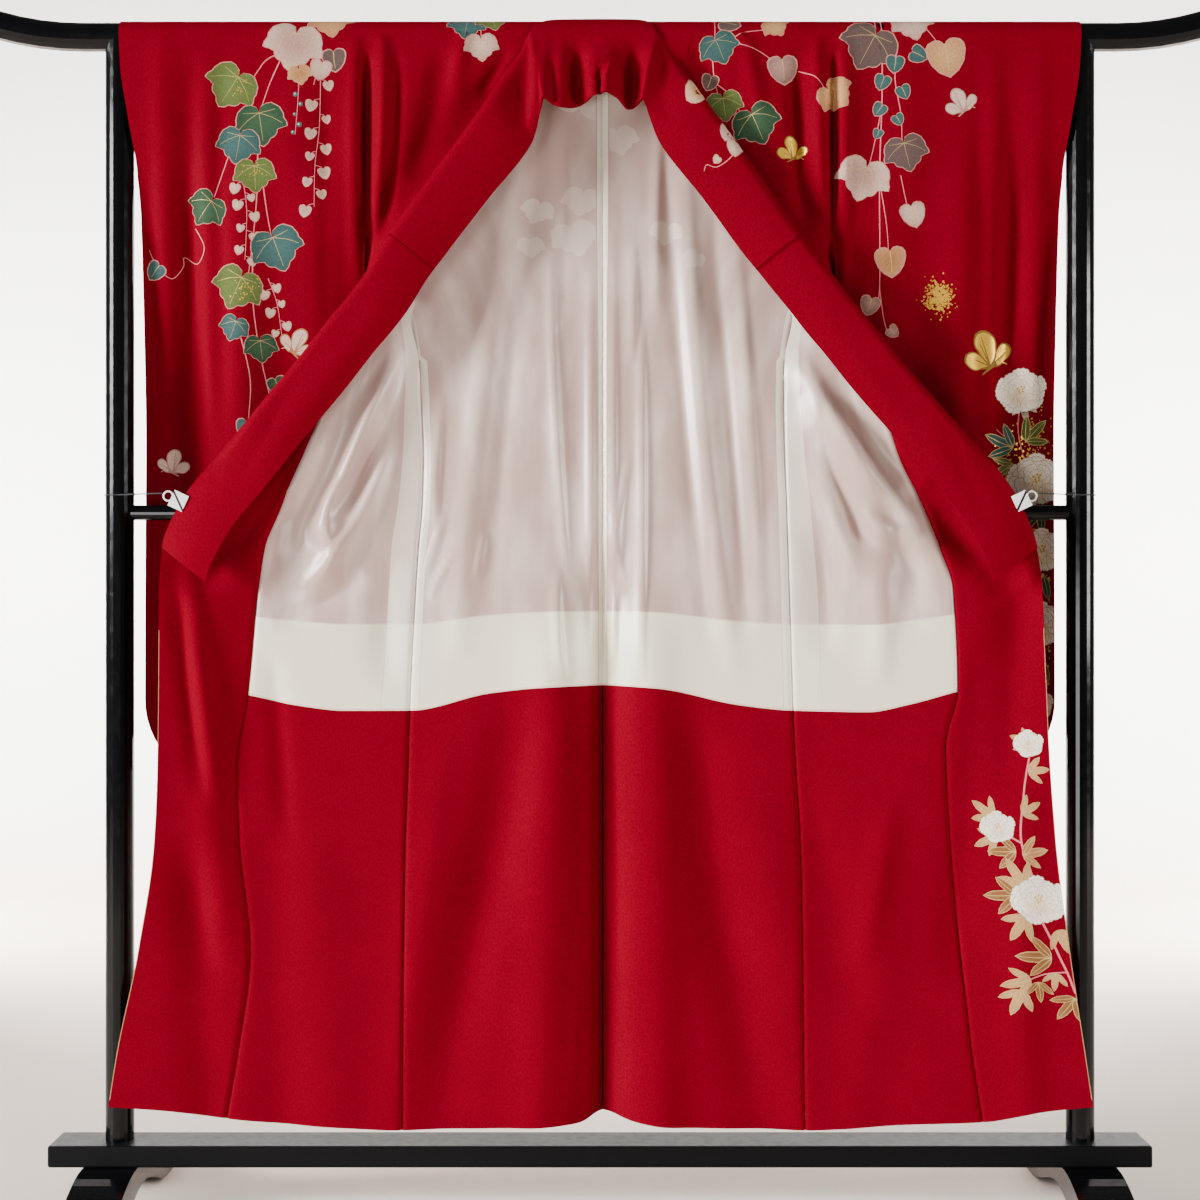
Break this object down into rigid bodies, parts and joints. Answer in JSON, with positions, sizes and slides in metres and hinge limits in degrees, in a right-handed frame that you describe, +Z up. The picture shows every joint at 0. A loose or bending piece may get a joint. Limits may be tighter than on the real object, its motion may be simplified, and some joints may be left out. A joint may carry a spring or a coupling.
{
  "type": "furisode on a kimono rack",
  "caption": "Long-sleeved formal kimono opened out over the top bar of a free-standing lacquered rack, its fronts turned back by clips to show the lining.",
  "frame": {"origin": "centre of the footprint, on the floor between the two feet", "axes": "+X to the viewer's right along the top bar, +Y away from the viewer, +Z up"},
  "size_m": [1.8748, 0.46, 1.7491],
  "materials": {
    "red_crepe": "printed silk crepe, soft sheen",
    "red_facing": "printed silk crepe, soft sheen",
    "white_silk": "smooth white silk with a satin sheen",
    "black_lacquer": "black lacquer, high gloss",
    "plated_steel": "bright plated",
    "dark_cord": "matt twisted cord"
  },
  "bodies": {
    "root": {"top_bar": "black_lacquer", "post_left": "black_lacquer", "post_right": "black_lacquer", "crossbar": "black_lacquer", "base_beam": "black_lacquer", "foot_left": "black_lacquer", "foot_right": "black_lacquer", "clip_left": "plated_steel", "clip_right": "plated_steel", "tie_left": "dark_cord", "tie_right": "dark_cord", "body_left": "red_crepe", "body_right": "red_crepe", "okumi_left": "red_crepe", "okumi_right": "red_crepe", "sleeve_left": "red_crepe", "sleeve_right": "red_crepe", "collar": "red_crepe", "over_collar": "red_crepe", "lining_back_left": "white_silk", "lining_back_right": "white_silk", "lining_front_left": "white_silk", "lining_front_right": "white_silk", "facing_back_left": "red_facing", "facing_back_right": "red_facing", "facing_front_left": "red_facing", "facing_front_right": "red_facing", "facing_okumi_left": "red_facing", "facing_okumi_right": "red_facing"}
  },
  "joints": []
}
